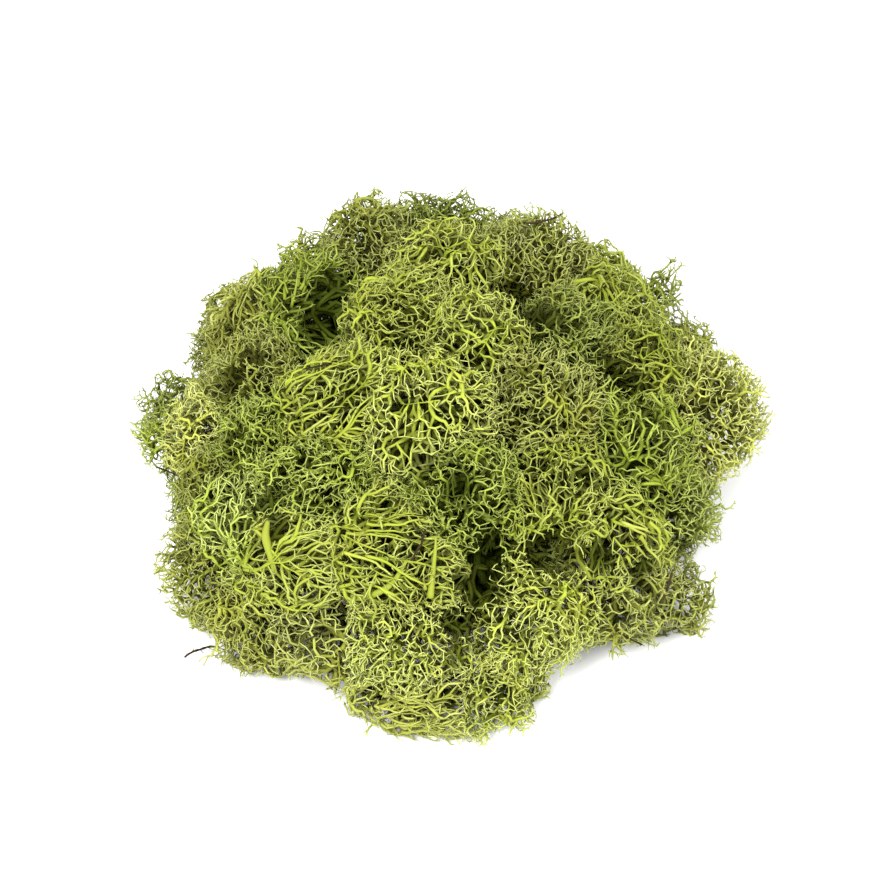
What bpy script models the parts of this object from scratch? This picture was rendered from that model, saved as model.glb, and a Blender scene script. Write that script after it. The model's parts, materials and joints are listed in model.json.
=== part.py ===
"""A heap of preserved reindeer moss: loose tufts tangled into one low mound, with needles and twigs caught in it.

Each tuft is one closed solid of the outer shape that its branch tips reach. Neighbouring tufts press flat against
each other, and the lowest ones sit flat on the surface at z = 0. Lengths in the tables are in millimetres.
"""

import math
from dataclasses import dataclass

import bmesh
import bpy
from mathutils import Matrix, Vector, noise
from mathutils.bvhtree import BVHTree

MM = 0.001
GAP = 0.35 * MM  # air left between two pieces that touch
WELD = 0.15 * MM  # corners nearer than this become one
HEAP_HEART = Vector((0.0, 0.0, 6.0)) * MM  # tufts grow away from this point
FLAT_ENOUGH = math.radians(0.3)
SHARP_FROM = math.radians(35)
BALL_SEGMENTS = 10
BALL_RINGS = 6
LUMP_DEPTH = 0.07  # how far a tuft's outline swells or dips, as a share of its radius
LUMP_PITCH = 1.3  # lumps to a radius
STICK_SPANS = 6
DROP_FROM = 150 * MM  # sticks come down on the heap from this far out
DROP_STEP = 0.1 * MM


@dataclass(frozen=True)
class Tuft:
    """One tuft: its centre, its half widths across, along and out of the heap, and which way its long side lies."""

    name: str
    centre: tuple[float, float, float]
    half: tuple[float, float, float]
    lie: float = 0.0
    shade: str = "lime_lichen"


@dataclass(frozen=True)
class Stick:
    """A needle or twig: a point that it is laid over, its length, heading, slope, bow to one side and width."""

    name: str
    over: tuple[float, float, float]
    length: float
    heading: float
    slope: float
    bow: float
    width: float
    shade: str = "pine_needle"


SHADES = {
    "lime_lichen": (0.36, 0.45, 0.06),
    "green_lichen": (0.22, 0.36, 0.05),
    "olive_lichen": (0.27, 0.30, 0.08),
    "pale_lichen": (0.50, 0.50, 0.13),
    "dark_lichen": (0.14, 0.24, 0.05),
    "pine_needle": (0.055, 0.04, 0.025),
    "twig_bark": (0.09, 0.06, 0.04),
}

TUFTS = (
    # the crown of the heap
    Tuft("crown_tuft_1", (-15, 13, 63), (19, 20, 18), 40, "lime_lichen"),
    Tuft("crown_tuft_2", (9, 3, 63), (18, 20, 17), 100, "lime_lichen"),
    Tuft("crown_tuft_3", (-5, -22, 61), (20, 22, 19), 15, "lime_lichen"),
    Tuft("crown_tuft_4", (27, -19, 59), (20, 22, 18), -20, "olive_lichen"),
    Tuft("crown_tuft_5", (-34, -16, 57), (18, 24, 18), 25, "lime_lichen"),
    Tuft("crown_tuft_6", (33, 8, 60), (18, 19, 17), 60, "dark_lichen"),
    # the far side
    Tuft("back_tuft_1", (-26, 57, 53), (16, 17, 17), 0, "olive_lichen"),
    Tuft("back_tuft_2", (-3, 63, 48), (17, 20, 17), 0, "dark_lichen"),
    Tuft("back_tuft_3", (0, 38, 61), (17, 18, 17), 10, "lime_lichen"),
    Tuft("back_tuft_4", (27, 45, 55), (19, 21, 19), -30, "olive_lichen"),
    Tuft("back_tuft_5", (50, 28, 51), (17, 20, 17), -40, "lime_lichen"),
    Tuft("back_tuft_6", (-62, 45, 21), (20, 23, 22), 45, "olive_lichen"),
    Tuft("back_tuft_7", (-40, 64, 23), (21, 22, 22), 20, "lime_lichen"),
    Tuft("back_tuft_8", (-12, 80, 21), (20, 22, 21), 0, "green_lichen"),
    Tuft("back_tuft_9", (20, 78, 20), (20, 23, 21), -10, "dark_lichen"),
    Tuft("back_tuft_10", (46, 61, 22), (20, 23, 21), -40, "lime_lichen"),
    # the left side
    Tuft("left_tuft_1", (-44, 32, 52), (17, 20, 17), 60, "green_lichen"),
    Tuft("left_tuft_2", (-62, 29, 44), (15, 19, 16), 50, "pale_lichen"),
    Tuft("left_tuft_3", (-60, 3, 48), (16, 18, 16), 30, "olive_lichen"),
    Tuft("left_tuft_4", (-84, 13, 23), (13, 14, 15), 80, "dark_lichen"),
    Tuft("left_tuft_5", (-72, -9, 37), (16, 17, 16), 70, "pale_lichen"),
    Tuft("left_tuft_6", (-54, -20, 49), (15, 17, 16), 0, "green_lichen"),
    Tuft("left_tuft_7", (-69, -28, 34), (14, 15, 15), 60, "olive_lichen"),
    Tuft("left_tuft_8", (-59, -41, 37), (16, 18, 17), 15, "green_lichen"),
    Tuft("left_tuft_9", (-40, -37, 50), (16, 18, 17), 0, "green_lichen"),
    Tuft("left_tuft_10", (-76, -6, 12), (14, 22, 14), 85, "green_lichen"),
    Tuft("left_tuft_11", (-89, -4, 28), (7, 9, 10), 70, "green_lichen"),
    # the near side
    Tuft("front_tuft_1", (-43, -54, 37), (18, 22, 18), 5, "lime_lichen"),
    Tuft("front_tuft_2", (-16, -58, 43), (19, 24, 19), -5, "lime_lichen"),
    Tuft("front_tuft_3", (6, -47, 54), (18, 20, 17), 30, "green_lichen"),
    Tuft("front_tuft_4", (30, -43, 51), (18, 21, 18), 20, "lime_lichen"),
    Tuft("front_tuft_5", (-71, -46, 17), (15, 19, 17), 60, "pale_lichen"),
    Tuft("front_tuft_6", (-57, -64, 14), (15, 18, 15), -35, "pale_lichen"),
    Tuft("front_tuft_7", (-36, -70, 20), (16, 18, 17), -15, "olive_lichen"),
    Tuft("front_tuft_8", (-13, -74, 25), (18, 22, 19), 0, "lime_lichen"),
    Tuft("front_tuft_9", (23, -69, 30), (20, 22, 20), 35, "lime_lichen"),
    Tuft("front_tuft_10", (-11, -86, 10), (14, 22, 11), 12, "pale_lichen"),
    Tuft("front_tuft_11", (16, -85, 11), (14, 17, 13), 20, "lime_lichen"),
    # the right side
    Tuft("right_tuft_1", (57, 8, 49), (16, 20, 16), -50, "lime_lichen"),
    Tuft("right_tuft_2", (78, 2, 35), (20, 24, 20), -65, "pale_lichen"),
    Tuft("right_tuft_3", (54, -25, 48), (18, 21, 18), -25, "green_lichen"),
    Tuft("right_tuft_4", (70, -32, 29), (12, 14, 13), -60, "dark_lichen"),
    Tuft("right_tuft_5", (47, -49, 38), (18, 22, 17), -35, "lime_lichen"),
    Tuft("right_tuft_6", (49, -58, 22), (17, 20, 17), 10, "olive_lichen"),
    Tuft("right_tuft_7", (69, -52, 13), (12, 17, 13), 12, "olive_lichen"),
    Tuft("right_tuft_8", (70, 33, 19), (19, 22, 20), 70, "olive_lichen"),
    Tuft("right_tuft_9", (71, -13, 12), (14, 22, 13), 85, "dark_lichen"),
    Tuft("right_tuft_10", (65, 42, 49), (8, 9, 10), 40, "dark_lichen"),
    # the bed that the others lie on
    Tuft("bed_tuft_1", (-36, 2, 22), (30, 34, 28), 80, "green_lichen"),
    Tuft("bed_tuft_2", (2, 36, 24), (30, 36, 28), 0, "green_lichen"),
    Tuft("bed_tuft_3", (36, -2, 22), (30, 36, 28), 80, "green_lichen"),
    Tuft("bed_tuft_4", (-2, -34, 20), (31, 36, 27), 0, "green_lichen"),
)

STICKS = (
    Stick("pine_needle_1", (52, -74, 25), 9.5, -14, -26, 0.2, 0.6),
    Stick("pine_needle_2", (-88, -16, 30), 9, 150, -4, 0.3, 0.6),
    Stick("pine_needle_3", (-37, -76, 32), 8, 25, 16, 0.2, 0.6),
    Stick("pine_needle_4", (-36, -13, 72), 10, 14, 4, 0.3, 0.6),
    Stick("twig_1", (-8, -58, 52), 10.5, 66, 12, 0.6, 0.8, "twig_bark"),
    Stick("twig_2", (62, -61, 32), 9.5, 62, 36, 0.5, 0.9, "twig_bark"),
    Stick("twig_3", (27, 46, 66), 12, 28, -6, 0.9, 0.8, "twig_bark"),
    Stick("twig_4", (-74, -66, 6), 11, 205, 6, 1.4, 0.8, "twig_bark"),
)


def clear_scene():
    """Removes whatever the file opened with."""
    for obj in list(bpy.data.objects):
        bpy.data.objects.remove(obj)


def material_for(shade):
    """The plain material of one shade, made once."""
    found = bpy.data.materials.get(shade)
    if found:
        return found
    made = bpy.data.materials.new(shade)
    made.use_nodes = True
    surface = made.node_tree.nodes["Principled BSDF"]
    surface.inputs["Base Color"].default_value = (*SHADES[shade], 1.0)
    surface.inputs["Roughness"].default_value = 0.8
    surface.inputs["Metallic"].default_value = 0.0
    return made


def stance(tuft):
    """The tuft's turn: local Z points out of the heap, and local Y along the way that it lies."""
    out = (Vector(tuft.centre) * MM - HEAP_HEART).normalized()
    heading = math.radians(tuft.lie)
    along = Vector((math.cos(heading), math.sin(heading), 0.0))
    across = along.cross(out).normalized()
    along = out.cross(across)
    return Matrix((across, along, out)).transposed()


def reach(tuft, direction):
    """How far the tuft's ellipsoid reaches from its centre in a direction, in metres."""
    local = stance(tuft).transposed() @ direction
    scaled = Vector((local[i] / (tuft.half[i] * MM) for i in range(3)))
    return 1.0 / scaled.length


def wrap(points):
    """A closed convex solid stretched tight around some points."""
    shape = bmesh.new()
    for point in points:
        shape.verts.new(point)
    bmesh.ops.remove_doubles(shape, verts=shape.verts, dist=WELD)
    hull = bmesh.ops.convex_hull(shape, input=shape.verts)
    inside = {item for item in hull["geom_interior"] + hull["geom_unused"] if isinstance(item, bmesh.types.BMVert)}
    bmesh.ops.delete(shape, geom=list(inside), context="VERTS")
    return shape


def lumpy_ball(tuft, seed):
    """A ball stretched to the tuft's half widths, with a gently uneven outline, kept convex."""
    ball = bmesh.new()
    bmesh.ops.create_uvsphere(ball, u_segments=BALL_SEGMENTS, v_segments=BALL_RINGS, radius=1.0)
    turn = stance(tuft)
    points = []
    for vert in ball.verts:
        lump = noise.noise(vert.co * LUMP_PITCH + Vector((7.3 * seed, 3.1 * seed, 1.7 * seed)))
        swelled = vert.co * (1.0 + LUMP_DEPTH * lump)
        stretched = Vector((swelled[i] * tuft.half[i] * MM for i in range(3)))
        points.append(turn @ stretched + Vector(tuft.centre) * MM)
    ball.free()
    return wrap(points)


def slice_off(shape, point, away):
    """Cuts off what lies beyond the plane through point, on the side that away points to, and closes the cut."""
    whole = shape.verts[:] + shape.edges[:] + shape.faces[:]
    bmesh.ops.bisect_plane(shape, geom=whole, dist=1e-6, plane_co=point, plane_no=away, clear_outer=True)
    kept = [vert.co.copy() for vert in shape.verts]
    shape.free()
    return wrap(kept)


def press_against(shape, tuft, neighbour):
    """Flattens a tuft where it meets a neighbour, half a gap short of the plane between them."""
    apart = (Vector(neighbour.centre) - Vector(tuft.centre)) * MM
    direction = apart.normalized()
    own, other = reach(tuft, direction), reach(neighbour, -direction)
    meeting = Vector(tuft.centre) * MM + direction * (apart.length * own / (own + other) - GAP / 2)
    return slice_off(shape, meeting, direction)


def near(tuft, other):
    """True where two tufts may touch."""
    distance = (Vector(tuft.centre) - Vector(other.centre)).length
    return distance < (max(tuft.half) + max(other.half)) * (1.0 + LUMP_DEPTH)


def finish_mesh(shape, name, centre):
    """Joins the faces that lie in one plane, turns them all out and returns the mesh, with its origin at centre."""
    bmesh.ops.dissolve_limit(shape, angle_limit=FLAT_ENOUGH, verts=shape.verts, edges=shape.edges)
    bmesh.ops.recalc_face_normals(shape, faces=shape.faces)
    bmesh.ops.translate(shape, vec=-centre, verts=shape.verts)
    mesh = bpy.data.meshes.new(name)
    shape.to_mesh(mesh)
    shape.free()
    mesh.shade_smooth()
    mesh.set_sharp_from_angle(angle=SHARP_FROM)
    return mesh


def make_tuft(tuft, seed, collection):
    """Builds one tuft, pressed against its neighbours and sat on the floor."""
    shape = lumpy_ball(tuft, seed)
    for other in TUFTS:
        if other is not tuft and near(tuft, other):
            shape = press_against(shape, tuft, other)
    shape = slice_off(shape, Vector((0.0, 0.0, 0.0)), Vector((0.0, 0.0, -1.0)))
    centre = Vector(tuft.centre) * MM
    obj = bpy.data.objects.new(tuft.name, finish_mesh(shape, tuft.name, centre))
    obj.location = centre
    obj.data.materials.append(material_for(tuft.shade))
    collection.objects.link(obj)
    return obj


def stick_points(stick):
    """Points along a stick's bowed line, measured from its middle."""
    heading, slope = math.radians(stick.heading), math.radians(stick.slope)
    along = Vector((math.cos(heading) * math.cos(slope), math.sin(heading) * math.cos(slope), math.sin(slope)))
    bowed = along.cross(Vector((0.0, 0.0, 1.0))).normalized()
    shares = [step / STICK_SPANS - 0.5 for step in range(STICK_SPANS + 1)]
    return [(along * share * stick.length + bowed * stick.bow * (1 - 4 * share**2)) * MM for share in shares]


def lay_down(stick, points, heap):
    """Lowers a stick towards the heart of the heap until the gap to a tuft or the floor is closed, and says where."""
    inward = (HEAP_HEART - Vector(stick.over) * MM).normalized()
    clearance = stick.width * MM / 2 + GAP
    middle = HEAP_HEART - inward * DROP_FROM
    while (middle - HEAP_HEART).length > DROP_STEP:
        lower = middle + inward * DROP_STEP
        if min((lower + point).z for point in points) < clearance:
            break
        if min(heap.find_nearest(lower + point)[3] for point in points) < clearance:
            break
        middle = lower
    return middle


def make_stick(stick, heap, collection):
    """Builds one needle or twig as a thin capped tube."""
    curve = bpy.data.curves.new(stick.name, "CURVE")
    curve.dimensions = "3D"
    curve.bevel_depth = stick.width * MM / 2
    curve.bevel_resolution = 0
    curve.use_fill_caps = True
    points = stick_points(stick)
    spline = curve.splines.new("POLY")
    spline.points.add(len(points) - 1)
    for slot, point in zip(spline.points, points):
        slot.co = (*point, 1.0)
    obj = bpy.data.objects.new(stick.name, curve)
    obj.location = lay_down(stick, points, heap)
    obj.data.materials.append(material_for(stick.shade))
    collection.objects.link(obj)


def heap_tree(objects):
    """One search tree over the surfaces of all the tufts."""
    corners, faces = [], []
    for obj in objects:
        start = len(corners)
        corners += [obj.location + vert.co for vert in obj.data.vertices]
        faces += [[start + index for index in face.vertices] for face in obj.data.polygons]
    return BVHTree.FromPolygons(corners, faces)


def stand_on_origin(objects):
    """Moves everything sideways so that the middle of the heap's footprint is over the origin."""
    corners = [obj.location + vert.co for obj in objects for vert in obj.data.vertices]
    middle = [(min(co[axis] for co in corners) + max(co[axis] for co in corners)) / 2 for axis in range(2)]
    for obj in bpy.data.objects:
        obj.location -= Vector((*middle, 0.0))


def main():
    """Builds the whole heap."""
    clear_scene()
    collection = bpy.data.collections.new("moss_clump")
    bpy.context.scene.collection.children.link(collection)
    tufts = [make_tuft(tuft, seed, collection) for seed, tuft in enumerate(TUFTS, start=1)]
    heap = heap_tree(tufts)
    for stick in STICKS:
        make_stick(stick, heap, collection)
    stand_on_origin(tufts)


main()
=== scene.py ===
"""A heap of preserved reindeer moss: strands that fork inside each tuft's room, under needles and twigs.

Growth is worked out in millimetres and turned into metres when a mesh is made.
"""

import json
import logging
import math
from dataclasses import dataclass, field
from enum import Enum
from typing import Any, Iterable, Union

import bpy
import numpy as np
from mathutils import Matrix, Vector
from mathutils.bvhtree import BVHTree
from mathutils.kdtree import KDTree

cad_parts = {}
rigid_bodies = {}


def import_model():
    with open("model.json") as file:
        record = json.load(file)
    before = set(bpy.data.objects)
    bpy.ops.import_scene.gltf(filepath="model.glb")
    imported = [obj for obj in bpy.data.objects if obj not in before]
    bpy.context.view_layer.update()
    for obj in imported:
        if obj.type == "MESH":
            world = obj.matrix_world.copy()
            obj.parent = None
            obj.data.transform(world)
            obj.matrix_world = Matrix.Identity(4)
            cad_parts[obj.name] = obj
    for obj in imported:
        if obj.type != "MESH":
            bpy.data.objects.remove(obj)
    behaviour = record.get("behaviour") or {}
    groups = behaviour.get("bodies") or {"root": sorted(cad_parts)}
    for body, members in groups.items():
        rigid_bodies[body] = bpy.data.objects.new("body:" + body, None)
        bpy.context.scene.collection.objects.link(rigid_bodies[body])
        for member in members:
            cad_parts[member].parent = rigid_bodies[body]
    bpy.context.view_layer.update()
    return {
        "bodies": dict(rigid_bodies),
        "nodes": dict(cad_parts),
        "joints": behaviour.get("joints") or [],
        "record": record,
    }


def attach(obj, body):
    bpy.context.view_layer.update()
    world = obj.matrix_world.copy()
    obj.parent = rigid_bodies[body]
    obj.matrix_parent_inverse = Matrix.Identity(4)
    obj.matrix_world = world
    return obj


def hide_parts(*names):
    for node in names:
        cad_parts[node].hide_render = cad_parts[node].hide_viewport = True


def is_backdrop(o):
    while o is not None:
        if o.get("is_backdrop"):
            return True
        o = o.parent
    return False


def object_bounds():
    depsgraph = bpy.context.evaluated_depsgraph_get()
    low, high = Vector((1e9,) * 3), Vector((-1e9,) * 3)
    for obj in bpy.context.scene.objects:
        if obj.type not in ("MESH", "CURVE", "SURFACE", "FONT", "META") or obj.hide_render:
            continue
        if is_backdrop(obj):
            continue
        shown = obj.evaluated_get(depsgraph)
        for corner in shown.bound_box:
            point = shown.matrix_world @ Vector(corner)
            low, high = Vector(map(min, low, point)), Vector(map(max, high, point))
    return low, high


LOG = logging.getLogger("moss")
MM = 0.001
BODY = "root"
Array = np.ndarray
RGB = tuple[float, float, float]
Point = tuple[float, float, float]
Zoned = tuple[float, float, float]


# ------------------------------------------------------------------------------ shader expressions


class Socket:
    """A node's output, with operators that add Math nodes."""

    def __init__(self, shader: "Shader", link: bpy.types.NodeSocket) -> None:
        """Wraps one output of one node."""
        self.shader = shader
        self.link = link

    def _math(self, operation: str, first: "Value", second: "Value") -> "Socket":
        """Adds one Math node."""
        return self.shader.node("ShaderNodeMath", {"operation": operation}, {0: first, 1: second})

    def __add__(self, other: "Value") -> "Socket":
        """self + other."""
        return self._math("ADD", self, other)

    def __radd__(self, other: "Value") -> "Socket":
        """other + self."""
        return self._math("ADD", other, self)

    def __sub__(self, other: "Value") -> "Socket":
        """self - other."""
        return self._math("SUBTRACT", self, other)

    def __rsub__(self, other: "Value") -> "Socket":
        """other - self."""
        return self._math("SUBTRACT", other, self)

    def __mul__(self, other: "Value") -> "Socket":
        """self * other."""
        return self._math("MULTIPLY", self, other)

    def __rmul__(self, other: "Value") -> "Socket":
        """other * self."""
        return self._math("MULTIPLY", other, self)

    def clamped(self) -> "Socket":
        """The value held between 0 and 1."""
        return self.shader.node("ShaderNodeClamp", {}, {"Value": self})


Value = Union[Socket, float]
Colour = Union[Socket, RGB]


class Shader:
    """A material being wired up."""

    def __init__(self, name: str) -> None:
        """Starts an empty material with an output.

        Args:
            name: The material's name.
        """
        self.material = bpy.data.materials.new(name)
        self.material.use_nodes = True
        self.tree = self.material.node_tree
        self.tree.nodes.clear()
        self.output = self.tree.nodes.new("ShaderNodeOutputMaterial")

    def node(
        self,
        kind: str,
        settings: dict[str, Any],
        inputs: dict[Union[int, str], Any],
        output: Union[int, str] = 0,
    ) -> Socket:
        """Adds any node.

        Args:
            kind: The node's type.
            settings: Properties of the node, set before its sockets.
            inputs: Values or sockets for its inputs, by index or name.
            output: Which output to return.

        Returns:
            The chosen output.
        """
        made = self.tree.nodes.new(kind)
        for key, value in settings.items():
            setattr(made, key, value)
        for key, value in inputs.items():
            if isinstance(value, Socket):
                self.tree.links.new(value.link, made.inputs[key])
            else:
                made.inputs[key].default_value = value
        return Socket(self, made.outputs[output])

    def blend(self, share: Value, first: "Colour", second: "Colour", mode: str = "MIX") -> Socket:
        """Mixes two colours.

        Args:
            share: How much of the second colour shows.
            first: The colour at share 0.
            second: The colour at share 1.
            mode: The Mix node's blend type.

        Returns:
            The mixed colour.
        """
        settings = {"data_type": "RGBA", "blend_type": mode}
        inputs = {0: share, 6: self._colour(first), 7: self._colour(second)}
        return self.node("ShaderNodeMix", settings, inputs, output=2)

    @staticmethod
    def _colour(value: "Colour") -> Any:
        """A colour as a Mix socket takes it."""
        return value if isinstance(value, Socket) else (*value, 1.0)

    def attribute(self, name: str) -> Socket:
        """Reads a number that the mesh carries."""
        return self.node("ShaderNodeAttribute", {"attribute_name": name}, {}, output="Fac")

    def noise(self, pitch: float, detail: float = 2.0) -> Socket:
        """Soft noise with features about pitch metres apart.

        Args:
            pitch: The distance between features.
            detail: Octaves of finer noise.

        Returns:
            The noise value, from 0 to 1.
        """
        place = self.node("ShaderNodeTexCoord", {}, {}, output="Object")
        inputs = {"Vector": place, "Scale": 1.0 / pitch, "Detail": detail}
        return self.node("ShaderNodeTexNoise", {}, inputs)

    def patches(self, pitch: float, contrast: float, level: float = 0.5, detail: float = 2.0) -> Socket:
        """Noise pushed apart into patches with soft edges.

        Args:
            pitch: The distance between patches, in metres.
            contrast: How hard their edges are.
            level: The noise value at which a patch begins.
            detail: Octaves of finer noise.

        Returns:
            The patches, from 0 outside to 1 inside.
        """
        return ((self.noise(pitch, detail) - level) * contrast).clamped()

    def bump(self, height: Socket, strength: float) -> Socket:
        """A normal roughened by a height, 0.1 mm at most."""
        inputs = {"Strength": strength, "Distance": 0.1 * MM, "Height": height}
        return self.node("ShaderNodeBump", {}, inputs)

    def surface(self, inputs: dict[str, Any]) -> bpy.types.Material:
        """Ends the material in a Principled surface.

        Args:
            inputs: Its sockets' values or links.

        Returns:
            The finished material.
        """
        shaded = self.node("ShaderNodeBsdfPrincipled", {}, inputs)
        self.tree.links.new(shaded.link, self.output.inputs["Surface"])
        return self.material


# ---------------------------------------------------------------------------------------- finishes


@dataclass(frozen=True)
class LichenFinish:
    """Dyed lichen: darker, browner wood low on the stems, fresh dye towards the tips, worn patches and
    painted shade.
    """

    slot: str
    stem: RGB
    strand: RGB
    tip: RGB
    patch: RGB
    # Painted shade: the dark colour that strands take deep inside the heap and around its hollows.
    shadow: RGB
    dull: RGB = (0.58, 0.60, 0.50)
    fresh: RGB = (1.30, 1.28, 1.38)
    patch_pitch: float = 12 * MM
    patch_share: float = 0.6
    mottle_pitch: float = 1.4 * MM
    mottle_share: float = 0.5
    grain_pitch: float = 0.4 * MM
    roughness: float = 0.6
    relief: float = 0.35

    def make(self) -> bpy.types.Material:
        """Wires the finish up.

        Returns:
            The material.
        """
        shader = Shader(self.slot)
        age = shader.attribute("tip")
        # The deep attribute is the painted shade that Thicket.shades gives each point.
        deep = shader.attribute("deep")
        tone = shader.attribute("tone")
        colour = shader.blend(age, self.stem, self.strand)
        colour = shader.blend(((age - 0.55) * 2.2).clamped() * (0.25 + tone * 0.75), colour, self.tip)
        worn = shader.patches(self.patch_pitch, 4.0)
        colour = shader.blend(worn * self.patch_share, colour, self.patch)
        mottle = shader.patches(self.mottle_pitch, 3.0)
        colour = shader.blend(mottle * self.mottle_share, colour, self.stem)
        bright = shader.blend(tone, self.dull, self.fresh)
        colour = shader.blend(1.0, colour, bright, "MULTIPLY")
        # Painted shade: strands deep inside the heap and around its hollows are darkened towards the shadow
        # colour.
        colour = shader.blend(deep, colour, self.shadow)
        grain = shader.noise(self.grain_pitch, 3.0)
        return shader.surface(
            {
                "Base Color": colour,
                "Roughness": self.roughness + grain * 0.25,
                "Specular IOR Level": 0.1,
                "Normal": shader.bump(grain, self.relief),
            }
        )


@dataclass(frozen=True)
class WoodFinish:
    """Dry bark or a dead needle: dark, with pale scuffs along it."""

    slot: str
    dark: RGB
    light: RGB
    scuff_pitch: float = 0.8 * MM
    cloud_pitch: float = 4 * MM
    roughness: float = 0.7
    relief: float = 0.6

    def make(self) -> bpy.types.Material:
        """Wires the finish up.

        Returns:
            The material.
        """
        shader = Shader(self.slot)
        scuff = shader.patches(self.scuff_pitch, 3.0, level=0.45, detail=4.0)
        cloud = shader.noise(self.cloud_pitch)
        colour = shader.blend(scuff * 0.6, self.dark, self.light)
        colour = shader.blend(cloud * 0.4, colour, self.dark)
        return shader.surface(
            {
                "Base Color": colour,
                "Roughness": self.roughness + scuff * 0.2,
                "Specular IOR Level": 0.15,
                "Normal": shader.bump(scuff, self.relief),
            }
        )


@dataclass(frozen=True)
class TableFinish:
    """The pale table top under the heap, glowing faintly with painted light."""

    colour: RGB = (0.9, 0.9, 0.9)
    shade: RGB = (0.86, 0.86, 0.86)
    cloud_pitch: float = 0.3
    # A faint glow: painted light from the table top, which lifts the shadow around the heap.
    glow: float = 0.05

    def make(self) -> bpy.types.Material:
        """Wires the finish up.

        Returns:
            The material.
        """
        shader = Shader("table")
        cloud = shader.noise(self.cloud_pitch)
        colour = shader.blend(cloud * 0.04, self.colour, self.shade)
        inputs = {"Base Color": colour, "Roughness": 0.7 + cloud * 0.1}
        # Painted light: the table top glows faintly to lift the shadow around the heap.
        inputs |= {"Emission Color": (1.0, 1.0, 1.0, 1.0), "Emission Strength": self.glow}
        return shader.surface(inputs)


LICHENS = (
    LichenFinish(
        "lime_lichen",
        stem=(0.265, 0.32, 0.03),
        strand=(0.335, 0.385, 0.048),
        tip=(0.43, 0.465, 0.14),
        patch=(0.315, 0.325, 0.045),
        shadow=(0.038, 0.047, 0.0003),
    ),
    LichenFinish(
        "green_lichen",
        stem=(0.215, 0.28, 0.026),
        strand=(0.31, 0.372, 0.045),
        tip=(0.405, 0.462, 0.13),
        patch=(0.265, 0.31, 0.036),
        shadow=(0.029, 0.043, 0.0003),
    ),
    LichenFinish(
        "olive_lichen",
        stem=(0.235, 0.26, 0.03),
        strand=(0.305, 0.335, 0.056),
        tip=(0.39, 0.42, 0.145),
        patch=(0.26, 0.26, 0.045),
        shadow=(0.036, 0.04, 0.0003),
    ),
    LichenFinish(
        "pale_lichen",
        stem=(0.315, 0.34, 0.045),
        strand=(0.395, 0.425, 0.075),
        tip=(0.485, 0.51, 0.175),
        patch=(0.365, 0.37, 0.07),
        shadow=(0.047, 0.052, 0.0008),
    ),
    LichenFinish(
        "dark_lichen",
        stem=(0.16, 0.2, 0.02),
        strand=(0.23, 0.27, 0.04),
        tip=(0.31, 0.36, 0.1),
        patch=(0.2, 0.21, 0.035),
        shadow=(0.022, 0.028, 0.0003),
    ),
)
WOODS = (
    WoodFinish("pine_needle", dark=(0.013, 0.009, 0.003), light=(0.05, 0.034, 0.012)),
    WoodFinish("twig_bark", dark=(0.024, 0.014, 0.005), light=(0.10, 0.062, 0.022)),
)


# ------------------------------------------------------------------------------------ growth rules


class Habit(Enum):
    """The ways in which a tuft can have grown and come to lie."""

    HEAD = "a round head of fine forked tips"
    LACE = "an open net of wider, looping strands"
    FAN = "a tuft on its side, its stems combed one way"
    DOME = "a tight cushion of very short tips"
    BED = "the coarse foot of a tuft, deep in the heap"


@dataclass(frozen=True)
class Rule:
    """Lengths in millimetres and angles in degrees that say how a habit grows.

    A zoned value has three parts: for the skin, the shell below it and the depths. Steps are the lengths
    between forks, and rooms are what a strand keeps free around it.
    """

    steps: Zoned
    rooms: Zoned
    fork: float
    wander: float
    outward: float
    combed: float
    straight: float
    tip_radius: float
    most_radius: float
    thickening: float
    stems: int
    knit: float
    runners: int
    stout: float


RULES = {
    Habit.HEAD: Rule(
        (1.3, 1.9, 3.5), (1.16, 1.7, 3.1), fork=48, wander=9, outward=0.28, combed=0.0, straight=0.1,
        tip_radius=0.148, most_radius=0.9, thickening=0.36, stems=7, knit=0.6, runners=1, stout=0.38,
    ),
    Habit.LACE: Rule(
        (1.7, 2.3, 3.5), (1.42, 2.0, 3.1), fork=50, wander=10, outward=0.15, combed=0.1, straight=0.14,
        tip_radius=0.175, most_radius=1.0, thickening=0.37, stems=8, knit=0.8, runners=4, stout=0.46,
    ),
    Habit.FAN: Rule(
        (1.6, 2.3, 3.5), (1.32, 1.85, 3.1), fork=27, wander=10, outward=0.08, combed=0.9, straight=0.28,
        tip_radius=0.19, most_radius=1.1, thickening=0.37, stems=10, knit=0.6, runners=26, stout=0.62,
    ),
    Habit.DOME: Rule(
        (1.2, 1.7, 3.4), (1.13, 1.6, 3.1), fork=46, wander=8, outward=0.5, combed=0.0, straight=0.1,
        tip_radius=0.155, most_radius=0.8, thickening=0.34, stems=8, knit=0.4, runners=0, stout=0.4,
    ),
    Habit.BED: Rule(
        (3.1, 3.4, 4.4), (2.4, 2.6, 3.7), fork=40, wander=14, outward=0.2, combed=0.1, straight=0.2,
        tip_radius=0.42, most_radius=1.3, thickening=0.33, stems=10, knit=0.6, runners=0, stout=0.9,
    ),
}


@dataclass(frozen=True)
class Plan:
    """How one tuft is grown: its habit, the heading that it is combed in and how bright its colour is."""

    habit: Habit
    heading: float = 0.0
    tone: float = 0.5


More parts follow.
